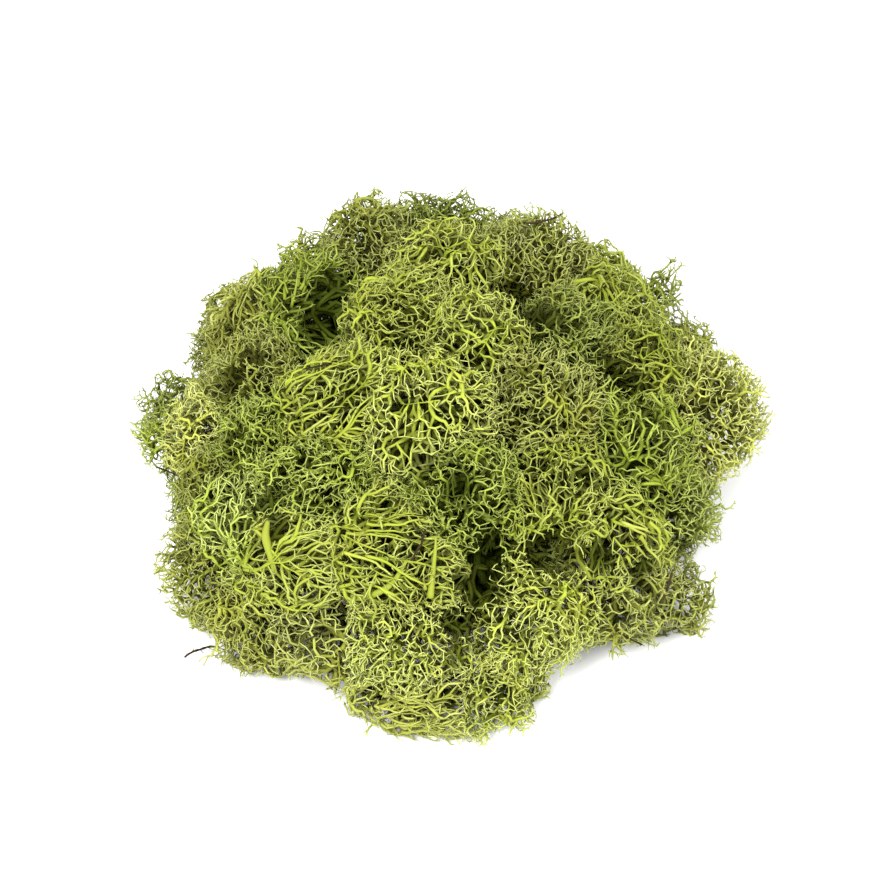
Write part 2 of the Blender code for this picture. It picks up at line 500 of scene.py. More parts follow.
PLANS = {
    "crown_tuft_1": Plan(Habit.HEAD, 200, 0.60),
    "crown_tuft_2": Plan(Habit.LACE, 0, 0.65),
    "crown_tuft_3": Plan(Habit.LACE, 20, 0.88),
    "crown_tuft_4": Plan(Habit.HEAD, 0, 0.60),
    "crown_tuft_5": Plan(Habit.FAN, 25, 0.60),
    "crown_tuft_6": Plan(Habit.HEAD, 0, 0.60),
    "back_tuft_1": Plan(Habit.HEAD, 0, 0.55),
    "back_tuft_2": Plan(Habit.DOME, 0, 0.45),
    "back_tuft_3": Plan(Habit.LACE, 60, 0.65),
    "back_tuft_4": Plan(Habit.HEAD, 0, 0.65),
    "back_tuft_5": Plan(Habit.FAN, -35, 0.45),
    "back_tuft_6": Plan(Habit.HEAD, 0, 0.50),
    "back_tuft_7": Plan(Habit.LACE, 30, 0.50),
    "back_tuft_8": Plan(Habit.HEAD, 0, 0.50),
    "back_tuft_9": Plan(Habit.DOME, 0, 0.55),
    "back_tuft_10": Plan(Habit.FAN, 140, 0.50),
    "left_tuft_1": Plan(Habit.FAN, 60, 0.35),
    "left_tuft_2": Plan(Habit.FAN, 230, 0.40),
    "left_tuft_3": Plan(Habit.HEAD, 0, 0.50),
    "left_tuft_4": Plan(Habit.DOME, 0, 0.75),
    "left_tuft_5": Plan(Habit.HEAD, 0, 0.90),
    "left_tuft_6": Plan(Habit.HEAD, 0, 0.50),
    "left_tuft_7": Plan(Habit.HEAD, 0, 0.40),
    "left_tuft_8": Plan(Habit.LACE, 15, 0.92),
    "left_tuft_9": Plan(Habit.HEAD, 0, 0.60),
    "left_tuft_10": Plan(Habit.HEAD, 0, 0.35),
    "left_tuft_11": Plan(Habit.HEAD, 0, 0.60),
    "front_tuft_1": Plan(Habit.FAN, -10, 0.60),
    "front_tuft_2": Plan(Habit.FAN, -5, 0.60),
    "front_tuft_3": Plan(Habit.HEAD, 0, 0.50),
    "front_tuft_4": Plan(Habit.LACE, 20, 0.50),
    "front_tuft_5": Plan(Habit.HEAD, 0, 0.38),
    "front_tuft_6": Plan(Habit.HEAD, 0, 0.40),
    "front_tuft_7": Plan(Habit.LACE, -15, 0.78),
    "front_tuft_8": Plan(Habit.HEAD, 0, 0.95),
    "front_tuft_9": Plan(Habit.HEAD, 0, 0.92),
    "front_tuft_10": Plan(Habit.FAN, 10, 0.42),
    "front_tuft_11": Plan(Habit.HEAD, 0, 0.78),
    "right_tuft_1": Plan(Habit.LACE, -50, 0.35),
    "right_tuft_2": Plan(Habit.HEAD, 0, 0.70),
    "right_tuft_3": Plan(Habit.LACE, -25, 0.42),
    "right_tuft_4": Plan(Habit.DOME, 0, 0.80),
    "right_tuft_5": Plan(Habit.FAN, -40, 0.55),
    "right_tuft_6": Plan(Habit.LACE, 10, 0.60),
    "right_tuft_7": Plan(Habit.HEAD, 0, 0.60),
    "right_tuft_8": Plan(Habit.HEAD, 0, 0.50),
    "right_tuft_9": Plan(Habit.HEAD, 0, 0.50),
    "right_tuft_10": Plan(Habit.LACE, 40, 0.60),
    "bed_tuft_1": Plan(Habit.BED, 80, 0.40),
    "bed_tuft_2": Plan(Habit.BED, 0, 0.40),
    "bed_tuft_3": Plan(Habit.BED, 80, 0.40),
    "bed_tuft_4": Plan(Habit.BED, 0, 0.40),
}


@dataclass(frozen=True)
class Hollow:
    """A hole that the heap leaves between its tufts, kept free of strands, with painted shade on the strands
    around it that lie below the surface.
    """

    place: Point
    radius: float


@dataclass(frozen=True)
class Rise:
    """A spot where the tufts bulge out of their rooms, or stay below them where the height is negative."""

    place: Point
    radius: float
    height: float


# Holes between the tufts; the strands around each one get painted shade.
HOLLOWS = (
    Hollow((-32, 34, 66), 5.6),
    Hollow((-35, 25, 66), 6.6),
    Hollow((-38, 16, 61), 6.6),
    Hollow((-37, 6, 64), 5.1),
    Hollow((19, 26, 64), 6.1),
    Hollow((22, 16, 72), 6.1),
    Hollow((27, 7, 77), 6.6),
    Hollow((50, -4, 59), 6.6),
    Hollow((57, -10, 62), 5.1),
    Hollow((-66, -6, 60), 4.4),
    Hollow((-60, 0, 62), 4.0),
    Hollow((-52, -49, 53), 4.6),
    Hollow((-50, -58, 54), 4.2),
    Hollow((14, -58, 50), 5.8),
    Hollow((11, -65, 48), 6.2),
    Hollow((7, -73, 45), 5.8),
    Hollow((3, -82, 39), 5.4),
    Hollow((6, -88, 33), 5.0),
    Hollow((28, -63, 51), 5.8),
    Hollow((35, -64, 48), 5.0),
    Hollow((28, -58, 44), 4.0),
    Hollow((20, -60, 50), 5.2),
    Hollow((15, -54, 44), 4.4),
    Hollow((12, -60, 42), 4.8),
    Hollow((9, -68, 39), 4.4),
    Hollow((6, -77, 33), 4.0),
    Hollow((44, -66, 48), 4.6),
    Hollow((59, -65, 39), 5.6),
    Hollow((62, -24, 66), 5.4),
    Hollow((2, -54, 70), 4.8),
    Hollow((-7, -45, 66), 4.2),
    Hollow((-65, -29, 56), 5.4),
)
RISES = (
    Rise((-18, -38, 62), 9.0, 7.0),
    Rise((-70, 24, 52), 14.0, -4.5),
    Rise((-42, 56, 58), 9.0, -4.5),
    Rise((-96, 14, 34), 7.0, -2.5),
    Rise((-91, -12, 20), 9.0, -5.0),
    Rise((-42, -84, 8), 10.0, -4.0),
    Rise((30, -92, 9), 10.0, -5.5),
    Rise((46, -79, 12), 12.0, -4.5),
    Rise((70, -68, 8), 10.0, -4.0),
    Rise((75, -46, 24), 7.5, -5.5),
    Rise((80, -46, 12), 8.0, -5.0),
    Rise((88, -22, 16), 12.0, -4.5),
    Rise((60, 38, 56), 15.0, -3.5),
)


@dataclass(frozen=True)
class Footing:
    """Where a tuft's stems start, as shares of its radius, and how much they splay."""

    back: float
    lift: float
    spread: float
    splay: float


STANDING = Footing(back=0.8, lift=0.0, spread=0.3, splay=0.8)
LYING = Footing(back=0.85, lift=0.25, spread=0.22, splay=0.55)


@dataclass(frozen=True)
class Stalk:
    """A stout bare stem that lies in sight on a tuft: points along it, each with a radius."""

    points: tuple[Point, ...]
    radii: tuple[float, ...]


@dataclass(frozen=True)
class Sprig:
    """A loose end that sticks out of a tuft: where it leaves, its way, its reach and how often it forks."""

    place: Point
    way: Point
    reach: float = 7.0
    forks: int = 4


SPRIGS = {
    "right_tuft_6": (Sprig((48.7, -76.1, 23.5), (0.45, -0.8, -0.35), 9.0, 5),),
    "right_tuft_7": (Sprig((80.4, -52.2, 19.5), (1.0, -0.1, 0.15), 6.0, 4),),
    "front_tuft_11": (
        Sprig((20.7, -97.5, 14.2), (0.85, -0.45, -0.25), 8.0, 5),
        Sprig((16.9, -98.6, 12.1), (0.3, -0.9, -0.3), 6.0, 4),
    ),
    "back_tuft_4": (Sprig((35.5, 49.7, 70.4), (0.25, 0.3, 1.0), 8.0, 5),),
    "right_tuft_10": (Sprig((72.6, 38.4, 53.1), (1.0, 0.1, 0.3), 6.0, 4),),
    "right_tuft_2": (
        Sprig((95.1, -12.1, 39.3), (0.8, -0.4, -0.6), 6.0, 4),
        Sprig((96.0, 2.0, 44.0), (1.0, 0.0, -0.1), 5.0, 4),
    ),
    "left_tuft_11": (
        Sprig((-91.6, -12.1, 32.0), (-0.5, -0.5, -0.7), 7.0, 5),
        Sprig((-87.4, -16.5, 30.0), (-0.3, -0.5, -0.8), 6.0, 4),
    ),
    "left_tuft_2": (Sprig((-66.7, 33.6, 57.2), (-0.6, 0.2, 0.8), 6.0, 4),),
    "left_tuft_4": (Sprig((-96.2, 14.1, 27.8), (-0.8, 0.0, 0.6), 5.0, 4),),
    "right_tuft_4": (Sprig((76.2, -43.3, 34.3), (0.9, -0.3, 0.1), 5.0, 3),),
}
STALKS = {
    "front_tuft_1": (
        Stalk(
            ((-50.5, -67, 45), (-51.5, -64, 49), (-53, -60, 52.5), (-52.5, -56, 54.5)),
            (0.7, 1.25, 1.15, 0.8),
        ),
    ),
    "front_tuft_2": (
        Stalk(((-5, -77, 46), (-4.4, -73.5, 51), (-3.6, -69, 57), (-3.4, -66, 60)), (1.05, 0.85, 0.5, 0.3)),
        Stalk(((-28, -74, 41), (-22, -76, 45.5), (-16, -75, 50), (-12, -71, 55)), (0.8, 1.0, 0.85, 0.5)),
    ),
}


# ---------------------------------------------------------------------------------- vector helpers


def unit(vectors: Array) -> Array:
    """Each row made one long."""
    return vectors / np.maximum(np.linalg.norm(vectors, axis=-1, keepdims=True), 1e-9)


def sideways(ways: Array, rng: np.random.Generator) -> Array:
    """For each way, a random unit vector at right angles to it."""
    side = rng.normal(size=ways.shape)
    return unit(side - ways * (side * ways).sum(axis=-1, keepdims=True))


def ripple(places: Array, pitch: float, seed: int) -> Array:
    """A smooth, repeatable unevenness, about -1 to 1.

    Args:
        places: Points, in millimetres.
        pitch: The distance between bumps.
        seed: Chooses the pattern.

    Returns:
        One value for each point.
    """
    rng = np.random.default_rng(seed)
    waves = unit(rng.normal(size=(7, 3))) * (2 * math.pi / pitch) * rng.uniform(0.6, 1.6, (7, 1))
    phases = rng.uniform(0, 2 * math.pi, 7)
    return np.sin(places @ waves.T + phases).mean(axis=1) * 1.9


def smooth_path(points: Array, count: int) -> Array:
    """A curve through control rows, each of which may hold a place and a radius.

    Args:
        points: The rows that the curve passes through.
        count: How many rows to return.

    Returns:
        Rows spaced evenly between the control rows.
    """
    padded = np.concatenate([[2 * points[0] - points[1]], points, [2 * points[-1] - points[-2]]])
    steps = np.linspace(0, len(points) - 1.001, count)
    first = steps.astype(int)
    share = (steps - first)[:, None]
    a, b, c, d = (padded[first + offset] for offset in range(4))
    bend = (2 * a - 5 * b + 4 * c - d) * share**2 + (3 * b - a - 3 * c + d) * share**3
    return 0.5 * (2 * b + (c - a) * share + bend)


def swirl(places: Array, pitch: float, seed: int) -> Array:
    """A smooth, repeatable direction at each place, made of three ripples."""
    return np.stack([ripple(places, pitch, seed + turn) for turn in (1, 2, 3)], axis=1)


def rings(middles: Array, along: Array, across: Array, radii: Array, sides: int) -> Array:
    """Rings of corners around points of a strand.

    Args:
        middles: The points.
        along: The strand's way at each point.
        across: A unit vector at right angles to it, where each ring begins.
        radii: Each ring's radius.
        sides: Corners to a ring.

    Returns:
        The corners, ring by ring.
    """
    other = np.cross(along, across)
    turn = np.arange(sides) * 2 * math.pi / sides
    circle = across[:, None] * np.cos(turn)[None, :, None] + other[:, None] * np.sin(turn)[None, :, None]
    return middles[:, None] + circle * radii[:, None, None]


def walls(near: Array, far: Array) -> Array:
    """Four-sided faces between rings of corner indices."""
    corners = [near, np.roll(near, -1, axis=-1), np.roll(far, -1, axis=-1), far]
    return np.stack(corners, axis=-1).reshape(-1, 4)


def cones(ring: Array, apex: Array) -> Array:
    """Three-sided faces from rings of corner indices to their apexes."""
    return np.stack([ring, np.roll(ring, -1, axis=-1), apex], axis=-1).reshape(-1, 3)


def sweep(path: Array, radii: Array, sides: int) -> tuple[Array, Array, Array]:
    """A closed round tube along a path.

    Args:
        path: Points along its middle.
        radii: Its radius at each point.
        sides: Sides to each ring.

    Returns:
        Its vertices, its four-sided faces and its three-sided faces.
    """
    along = unit(np.gradient(path, axis=0))
    helper = np.eye(3)[np.argmin(np.abs(path[-1] - path[0]))]
    across = unit(helper - along * (along @ helper)[:, None])
    corners = rings(path, along, across, radii, sides).reshape(-1, 3)
    poles = np.stack([path[0] - along[0] * radii[0] * 0.5, path[-1] + along[-1] * radii[-1] * 0.8])
    vertices = np.concatenate([corners, poles])
    base = np.arange(len(path) - 1)[:, None] * sides + np.arange(sides)
    last = base[-1] + sides
    near = cones(base[0][::-1], np.full(sides, len(vertices) - 2))
    far = cones(last, np.full(sides, len(vertices) - 1))
    return vertices, walls(base, base + sides), np.concatenate([near, far])


# ---------------------------------------------------------------------------------- tuft envelopes


@dataclass
class Envelope:
    """The convex room that a tuft's CAD solid gives it, as planes, in millimetres."""

    node: bpy.types.Object
    corners: Array = field(init=False)
    normals: Array = field(init=False)
    offsets: Array = field(init=False)
    middles: Array = field(init=False)
    areas: Array = field(init=False)
    hidden: Array = field(init=False)

    def __post_init__(self) -> None:
        """Reads the planes of the solid's faces."""
        mesh = self.node.data
        self.corners = np.array([vert.co for vert in mesh.vertices]) / MM
        self.normals = np.array([face.normal for face in mesh.polygons])
        self.middles = np.array([face.center for face in mesh.polygons]) / MM
        self.areas = np.array([face.area for face in mesh.polygons]) / MM**2
        self.offsets = (self.normals * self.middles).sum(axis=1)
        self.hidden = np.ones(len(self.offsets))

    SOFT_CHOICE = 3.0

    def box(self, margin: float = 0.0) -> tuple[Array, Array]:
        """The low and high corners of the upright box around the room, with a margin."""
        return self.corners.min(axis=0) - margin, self.corners.max(axis=0) + margin

    @property
    def centre(self) -> Array:
        """The middle of the room."""
        return (self.middles * self.areas[:, None]).sum(axis=0) / self.areas.sum()

    @property
    def radius(self) -> float:
        """Half the room's mean width."""
        low, high = self.box()
        return float((high - low).mean() / 2)

    def excess(self, places: Array) -> Array:
        """How far each place is outside the room, or negative inside."""
        return (places @ self.normals.T - self.offsets).max(axis=1)

    def depth(self, places: Array) -> Array:
        """How far each place is below the part of the room's surface that can be seen.

        Args:
            places: The places.

        Returns:
            One depth for each place.
        """
        below = self.offsets - places @ self.normals.T
        return (np.maximum(below, 0.0) + self.hidden * Heap.UNSEEN).min(axis=1)

    def way_out(self, places: Array) -> Array:
        """The direction from each place to the seen surface that is nearest.

        Args:
            places: The places.

        Returns:
            One unit vector for each place.
        """
        below = self.offsets - places @ self.normals.T + self.hidden * Heap.UNSEEN
        weight = np.exp(-(below - below.min(axis=1, keepdims=True)) / self.SOFT_CHOICE)
        return unit(weight @ self.normals)


# ------------------------------------------------------------------------------------------ growth


@dataclass
class Thicket:
    """The strands of one tuft while they grow, as a tree of points."""

    envelope: Envelope
    neighbours: list[Envelope]
    rule: Rule
    plan: Plan
    heart: Array
    seed: int
    litter: Array
    places: Array = field(init=False, default_factory=lambda: np.zeros((0, 3)))
    ways: Array = field(init=False, default_factory=lambda: np.zeros((0, 3)))
    parents: Array = field(init=False, default_factory=lambda: np.zeros(0, int))
    depths: Array = field(init=False, default_factory=lambda: np.zeros(0))
    local: Array = field(init=False, default_factory=lambda: np.zeros(0))
    stout: Array = field(init=False, default_factory=lambda: np.zeros(0))
    joined: Array = field(init=False)
    batches: list[Array] = field(init=False, default_factory=list)
    loose: float = 0.0

    CELL = 0.5
    TRIES = 6
    ROUNDS = 34
    LAST_SPROUTS = 12
    FUZZ = 1.1
    FLOOR = 0.45
    SKIN = 1.0
    SHELL = 4.2
    SWELL = (17.0, 2.2)
    RIPPLES = ((9.0, 1.4), (3.6, 0.9))
    BLEND = 2.4
    OVERLAP = 1.2
    MARGIN = 8.0
    FOOT = 12.0
    LOWEST_FOOT = 2.0
    LOWEST_STEM = 1.5
    STEM_LEAN = 1.2
    RUNNER_STEP = 1.6
    RUNNER_TURN = 0.2
    RUNNER_SINK = (0.5, 2.4)
    RUNNER_LENGTH = (0.5, 1.3)
    RUNNER_BEND = (14.0, 0.14)
    RUNNER_SHARE = (0.55, 1.0)
    RUNNER_TAPER = 0.42
    RUNNER_LEAST = 3
    LEVEL_MOVES = (-1.5, 3.0)
    BEND = (12.0, 0.16)
    THIRD_CHILD = 0.16
    STEP_SPREAD = (0.75, 1.25)
    BLOCKED_TURN = 17.0
    PULL_OVER = 2.5
    PULL_FROM = 0.4
    COMB_SHARE = 0.3
    ROOM_STEP = 0.2
    FILL_RANGE = (-20.0, 1.0)
    FREE_ROUNDS = 6
    KNIT_CHOICES = 7
    KNIT_REACH = 1.7
    LITTER_DIP = -0.9
    LITTER_SLOPE = 0.5
    STRAGGLERS = 5
    STRAGGLE = 3.5
    LOOSE_PULL = 0.35
    # Painted shade: how far around a hollow it reaches, how much depth it adds there, the depth at which it
    # begins and how fast it darkens.
    HOLLOW_SHADE = 4.0
    HOLLOW_DEPTH = 9.0
    LIT = 0.6
    DIM = 3.5
    KNIT_FROM = 0.9

    def __post_init__(self) -> None:
        """Prepares the grid that keeps strands apart, and plants the stems."""
        self.rng = np.random.default_rng(self.seed)
        self.low, high = self.envelope.box(self.MARGIN)
        spans = high - self.low
        self.shape = np.ceil(spans / self.CELL).astype(int) + 1
        self.taken = np.zeros(int(self.shape.prod()), bool)
        self._plant()
        self._lay_runners()

    @property
    def heading(self) -> Array:
        """The direction that a lying tuft is combed in."""
        turn = math.radians(self.plan.heading)
        return np.array([math.cos(turn), math.sin(turn), 0.0])

    @property
    def outward(self) -> Array:
        """The direction out of the heap at this tuft."""
        return unit(self.envelope.centre - self.heart)

    @property
    def combed(self) -> Array:
        """The heading, laid flat against the heap's surface."""
        return unit(self.heading - self.outward * (self.heading @ self.outward))

    def _plant(self) -> None:
        """Sets the first points of the stems at the tuft's foot."""
        lying = self.plan.habit is Habit.FAN
        footing = LYING if lying else STANDING
        lean = self.combed if lying else self.outward
        radius = self.envelope.radius
        foot = self.envelope.centre - lean * radius * footing.back + self.outward * radius * footing.lift
        foot[2] = max(foot[2], self.LOWEST_FOOT)
        count = self.rule.stems
        spread = unit(self.rng.normal(size=(count, 3)))
        places = foot + spread * radius * footing.spread
        places[:, 2] = np.maximum(places[:, 2], self.LOWEST_STEM)
        ways = unit(lean * self.STEM_LEAN + spread * footing.splay)
        self.batches.append(self._append(places, ways, np.full(count, -1), np.zeros(count)))

    def _append(self, places: Array, ways: Array, parents: Array, stout: Array) -> Array:
        """Adds new points to the tree and takes the room around them.

        Args:
            places: Where they are.
            ways: The way that each one grows.
            parents: The points that they grow from, or -1.
            stout: Fixed radii for the points of bare stems, or 0.

        Returns:
            The new points' indices.
        """
        start = len(self.places)
        depths, local = self._depths(places)
        self.places = np.concatenate([self.places, places])
        self.ways = np.concatenate([self.ways, ways])
        self.parents = np.concatenate([self.parents, parents])
        self.stout = np.concatenate([self.stout, stout])
        self.depths = np.concatenate([self.depths, depths])
        self.local = np.concatenate([self.local, local])
        self._mark(places, local)
        return np.arange(start, len(self.places))

    def _lay_runners(self) -> None:
        """Lays bare stems just under the surface, most of them the way that the tuft is combed."""
        found = [self._runner() for _ in range(self.rule.runners)]
        paths = [path for path in found if len(path) > self.RUNNER_LEAST]
        laid: list[Array] = []
        for path in paths:
            start, count = len(self.places), len(path)
            parents = np.concatenate([[-1], np.arange(start, start + count - 1)])
            thick = self.rule.stout * self.rng.uniform(*self.RUNNER_SHARE)
            radii = thick * np.linspace(1.0, self.RUNNER_TAPER, count)
            laid.append(self._append(path, unit(np.gradient(path, axis=0)), parents, radii))
        for step in range(max((len(points) for points in laid), default=0)):
            self.batches.append(np.array([points[step] for points in laid if step < len(points)]))

    def _runner(self) -> Array:
        """Finds the line of one bare stem, which is short where it meets a neighbour or a hollow.

        Returns:
            Points along it, none where it has no room.
        """
        envelope, out, side = self.envelope, self.outward, np.cross(self.outward, self.combed)
        lying = self.plan.habit is Habit.FAN
        turn = self.rng.normal(0, self.RUNNER_TURN) if lying else self.rng.uniform(-math.pi, math.pi)
        along = self.combed * math.cos(turn) + side * math.sin(turn)
        across = np.cross(out, along)
        offsets = self.rng.uniform((-0.8, 0.1), (0.8, 0.8)) * envelope.radius
        sink = self.rng.uniform(*self.RUNNER_SINK)
        place = envelope.centre + out * envelope.radius * 0.5 + across * offsets[0] - along * offsets[1]
        place = self._level(place, sink, 8)
        pitch, swing = self.RUNNER_BEND
        path: list[Array] = []
        length = envelope.radius * self.rng.uniform(*self.RUNNER_LENGTH)
        while len(path) * self.RUNNER_STEP < length and self._allowed(place[None])[0]:
            if self.taken[self._flat(self._cells(place[None]))[0]]:
                break
            path.append(place)
            up = envelope.way_out(place[None])[0]
            along = unit(along + swirl(place[None], pitch, self.seed + 20)[0] * swing)
            along = unit(along - up * (along @ up) * 0.8)
            place = self._level(place + along * self.RUNNER_STEP, sink, 1)
        return np.array(path)

    def _level(self, place: Array, sink: float, tries: int) -> Array:
        """Moves a place in or out until it lies a set way below the ragged outline.

        Args:
            place: The place.
            sink: The depth that it should have.
            tries: How many moves it may take.

        Returns:
            The moved place.
        """
        for _ in range(tries):
            gap = self._depths(place[None])[1][0] - sink
            place = place + self.envelope.way_out(place[None])[0] * np.clip(gap, *self.LEVEL_MOVES) * 0.8
        return place

    def _zoned(self, depths: Array, values: Zoned) -> Array:
        """A rule's value at each depth, blended from skin to shell to the depths.

        Args:
            depths: Depths below the outline.
            values: The rule's zoned value.

        Returns:
            One value for each depth.
        """
        skin, shell, deep = values
        zones = (self.SKIN * 0.6, self.SKIN * 1.4, self.SHELL, self.SHELL * 2)
        return np.interp(depths, zones, (skin, shell, shell, deep))

    def _cells(self, places: Array) -> Array:
        """Each place's cell as grid indices."""
        return np.clip(((places - self.low) / self.CELL).astype(int), 0, self.shape - 1)

    def _flat(self, cells: Array) -> Array:
        """Grid indices as places in the flat grid."""
        return (cells[..., 0] * self.shape[1] + cells[..., 1]) * self.shape[2] + cells[..., 2]

    def _mark(self, places: Array, depths: Array) -> None:
        """Takes the cells around new points.

        Args:
            places: The new points.
            depths: Their depths, which set how much room they take.
        """
        rooms = np.round(self._zoned(depths, self.rule.rooms) / self.ROOM_STEP) * self.ROOM_STEP
        cells = self._cells(places)
        for room in np.unique(rooms):
            reach = int(math.ceil(room / self.CELL))
            ticks = np.arange(-reach, reach + 1)
            ball = np.stack(np.meshgrid(ticks, ticks, ticks, indexing="ij"), axis=-1).reshape(-1, 3)
            ball = ball[np.linalg.norm(ball * self.CELL, axis=1) <= room]
            around = cells[rooms == room][:, None, :] + ball[None, :, :]
            around = np.clip(around, 0, self.shape - 1)
            self.taken[self._flat(around).ravel()] = True

    def _fuzz(self, places: Array) -> Array:
        """How far the tuft's ragged outline stands out from its room near each place.

        Args:
            places: The places.

        Returns:
            One distance for each place, negative where the outline dips.
        """
        fuzz = self.FUZZ + self.SWELL[1] * ripple(places, self.SWELL[0], 5)
        for turn, (pitch, swing) in enumerate(self.RIPPLES):
            fuzz += swing * ripple(places, pitch, self.seed + 5 + turn)
        for rise in RISES:
            apart = np.linalg.norm(places - rise.place, axis=1)
            fuzz += rise.height * np.exp(-((apart / rise.radius) ** 2))
        return fuzz

    def _inside(self, places: Array) -> tuple[Array, Array]:
        """How far places are inside the ragged outline.

        It fills in the valleys between rooms, and dips under the needles and twigs.

        Args:
            places: The places.

        Returns:
            Each place's distance inside, and whether it is this tuft's to fill and not a neighbour's.
        """
        own = self.envelope.excess(places)
        rest = np.stack([near.excess(places) for near in self.neighbours])
        closeness = np.exp(np.clip((own - rest) / self.BLEND, *self.FILL_RANGE))
        filled = np.log1p(closeness.sum(axis=0)) * self.BLEND
        reach = self._fuzz(places) + filled
        if len(self.litter):
            apart = np.linalg.norm(places[:, None] - self.litter[None], axis=2).min(axis=1)
            reach = np.minimum(reach, self.LITTER_DIP + self.LITTER_SLOPE * apart)
        return reach - own, own < rest.min(axis=0) + self.OVERLAP

    def _depths(self, places: Array) -> tuple[Array, Array]:
        """How deep places lie.

        Args:
            places: The places.

        Returns:
            Depths below the seen side of the room, and depths below the ragged outline.
        """
        depths = self.envelope.depth(places)
        inside, _ = self._inside(places)
        return depths, depths + inside + np.minimum(self.envelope.excess(places), 0.0)

    def _allowed(self, places: Array) -> Array:
        """Which places may hold a strand.

        Args:
            places: The places.

        Returns:
            True inside the ragged outline, above the table and outside the heap's hollows.
        """
        inside, own = self._inside(places)
        free = own & (inside > -self.loose) & (places[:, 2] > self.FLOOR)
        for hollow in HOLLOWS:
            free &= np.linalg.norm(places - hollow.place, axis=1) > hollow.radius
        return free

    def shades(self) -> Array:
        """How much painted shade each point gets, which darkens its colour.

        Returns:
            One value for each point: 0 in full light, 1 deep inside the heap or at the back of a hollow.
        """
        depths = np.maximum(0.5 * (self.depths + self.local - self.FUZZ) - self.LIT, 0.0)
        for hollow in HOLLOWS:
            apart = np.linalg.norm(self.places - hollow.place, axis=1) - hollow.radius
            near = np.clip(1.0 - apart / self.HOLLOW_SHADE, 0.0, 1.0)
            depths += near * np.clip(self.depths / 3.0, 0.0, 1.0) * self.HOLLOW_DEPTH
        return 1.0 - np.exp(-depths / self.DIM)

    def _turned(self, ways: Array, angles: Array) -> Array:
        """Ways turned by angles, in random planes.

        Args:
            ways: Unit vectors.
            angles: Turns in radians.

        Returns:
            The turned unit vectors.
        """
        side = sideways(ways, self.rng)
        return ways * np.cos(angles)[..., None] + side * np.sin(angles)[..., None]

    def _forks(self, tips: Array) -> tuple[Array, Array]:
        """Where each growing point would send its children.

        Args:
            tips: Indices of growing points.

        Returns:
            The parents of the children, and the children's ways.
        """
        rule = self.rule
        ways = self.ways[tips]
        places = self.places[tips]
        out = self.envelope.way_out(places)
        pull = rule.outward * np.clip(self.local[tips] / self.PULL_OVER - self.PULL_FROM, -0.5, 1.0)
        if self.loose:
            pull = np.full(len(tips), self.LOOSE_PULL)
        ways = unit(ways + out * pull[:, None] + self.heading * rule.combed * self.COMB_SHARE)
        pitch, swing = self.BEND
        ways = unit(ways + swirl(places, pitch, self.seed + 10) * swing)
        side = sideways(ways, self.rng)
        half = np.radians(rule.fork + self.rng.normal(0, rule.wander * 0.5, len(tips)))[:, None]
        left = ways * np.cos(half) + side * np.sin(half)
        right = ways * np.cos(half) - side * np.sin(half)
        single = self.rng.random(len(tips)) < rule.straight
        third = (~single) & (self.rng.random(len(tips)) < self.THIRD_CHILD)
        parents = np.concatenate([tips, tips[~single], tips[third]])
        ahead = self._turned(ways, np.radians(self.rng.normal(0, rule.wander, len(tips))))
        first = np.where(single[:, None], ahead, left)
        return parents, np.concatenate([first, right[~single], ahead[third]])

    def _settle(self, parents: Array, ways: Array) -> Array:
        """Grows children where there is room, bending those that are blocked.

        Args:
            parents: The points that they grow from.
            ways: The directions that they would take.

        Returns:
            The indices of the new points.
        """
        order = self.rng.permutation(len(parents))
        parents, ways = parents[order], ways[order]
        steps = self._zoned(self.local[parents], self.rule.steps)
        steps = steps * self.rng.uniform(*self.STEP_SPREAD, len(parents))
        chosen = np.zeros((len(parents), 3))
        found = np.zeros(len(parents), bool)
        for attempt in range(self.TRIES):
            left = np.flatnonzero(~found)
            if not len(left):
                break
            bend = np.radians(attempt * self.BLOCKED_TURN) * self.rng.uniform(0.5, 1.2, len(left))
            tried = self._turned(ways[left], bend)
            spots = self.places[parents[left]] + tried * steps[left, None]
            fits = ~self.taken[self._flat(self._cells(spots))]
            fits[fits] = self._allowed(spots[fits])
            chosen[left[fits]] = spots[fits]
            found[left[fits]] = True
        parents, chosen = parents[found], chosen[found]
        if not len(parents):
            return np.zeros(0, int)
        coarse = np.floor(chosen / (self.rule.rooms[0] * 0.9)).astype(int)
        _, kept = np.unique(coarse, axis=0, return_index=True)
        parents, chosen = parents[kept], chosen[kept]
        ways = unit(chosen - self.places[parents])
        fresh = self._append(chosen, ways, parents, np.zeros(len(chosen)))
        self.batches.append(fresh)
        return fresh

    def grow(self) -> None:
        """Lets the tuft fork until its room is full."""
        active = np.arange(len(self.places))
        for turn in range(self.ROUNDS):
            active = self._settle(*self._forks(active))
            if turn > self.FREE_ROUNDS or not len(active):
                low = self.places[:, 2] < self.FOOT
                everywhere = self.plan.habit is Habit.BED
                shell = np.flatnonzero((self.local < self.SHELL * 1.6) | low | everywhere)
                if not len(shell):
                    break
                count = max(8, len(shell) // 6)
                active = np.union1d(active, self.rng.choice(shell, min(count, len(shell)), replace=False))
            if turn > self.ROUNDS - self.LAST_SPROUTS and not len(active):
                break

    def straggle(self) -> None:
        """Lets a few tips grow on past the outline as loose sprigs."""
        rim = np.flatnonzero((self.local < self.SKIN) & (self.depths < self.SKIN))
        picked = self.rng.choice(rim, min(self.STRAGGLERS, len(rim)), replace=False)
        self._sprout(picked, self.STRAGGLE, 3)
        for sprig in SPRIGS.get(self.envelope.node.name, ()):
            nearest = np.linalg.norm(self.places - sprig.place, axis=1).argmin()
            self.ways[nearest] = unit(np.array(sprig.way))
            self._sprout(np.array([nearest]), sprig.reach, sprig.forks)

    def _sprout(self, picked: Array, reach: float, forks: int) -> None:
        """Grows points on, outside the outline.

        Args:
            picked: Indices of the points.
            reach: How far past the outline they may go.
            forks: How often they fork.
        """
        self.loose = reach
        for _ in range(forks):
            picked = self._settle(*self._forks(picked))
        self.loose = 0.0

